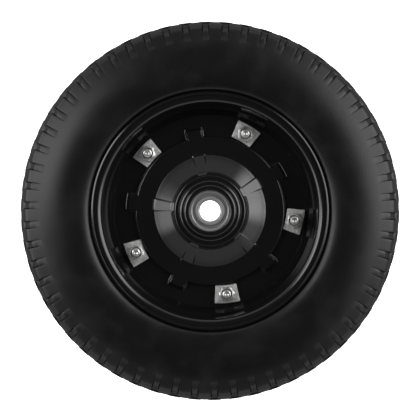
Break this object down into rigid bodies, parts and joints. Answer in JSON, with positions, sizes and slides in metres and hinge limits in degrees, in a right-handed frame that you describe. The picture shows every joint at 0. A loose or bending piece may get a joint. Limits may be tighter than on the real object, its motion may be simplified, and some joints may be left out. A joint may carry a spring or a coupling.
{
  "type": "solid rubber barrow wheel",
  "caption": "Solid rubber tyre with a block tread on a split pressed-steel rim, clamped by bolts, with a shielded ball bearing in each end of its stepped hub.",
  "frame": {"origin": "the middle of the wheel, on its axle axis and halfway between the two bearings", "axes": "+Z along the axle, out of the side with the nuts, which is up as the wheel lies on its other sidewall; +Y is up in the picture and +X is to its right"},
  "size_m": [0.35, 0.35, 0.08],
  "materials": {
    "tyre_rubber": "moulded black rubber, matt",
    "rim_paint": "gloss black stoved enamel",
    "zinc_plate": "zinc plated sheet, dull",
    "zinc_fastener": "bright zinc plated",
    "bearing_steel": "ground bearing steel",
    "shield_steel": "pressed steel sheet",
    "spacer_steel": "plain drawn tube"
  },
  "bodies": {
    "wheel": {"tyre": "tyre_rubber", "rim_front": "rim_paint", "rim_rear": "rim_paint", "bolt_1": "zinc_fastener", "bolt_2": "zinc_fastener", "bolt_3": "zinc_fastener", "bolt_4": "zinc_fastener", "bolt_5": "zinc_fastener", "nut_1": "zinc_fastener", "nut_2": "zinc_fastener", "nut_3": "zinc_fastener", "nut_4": "zinc_fastener", "nut_5": "zinc_fastener", "clamp_plate_1": "zinc_plate", "clamp_plate_2": "zinc_plate", "clamp_plate_3": "zinc_plate", "clamp_plate_4": "zinc_plate", "clamp_plate_5": "zinc_plate", "front_bearing_outer_ring": "bearing_steel", "rear_bearing_outer_ring": "bearing_steel", "front_bearing_shield": "shield_steel", "rear_bearing_shield": "shield_steel"},
    "axle_sleeve": {"front_bearing_inner_ring": "bearing_steel", "rear_bearing_inner_ring": "bearing_steel", "axle_spacer": "spacer_steel"}
  },
  "joints": [
    {"name": "wheel_spin", "type": "hinge", "parent": "wheel", "child": "axle_sleeve", "pos_m": [0, 0, 0], "axis": [0, 0, 1], "continuous": true}
  ]
}
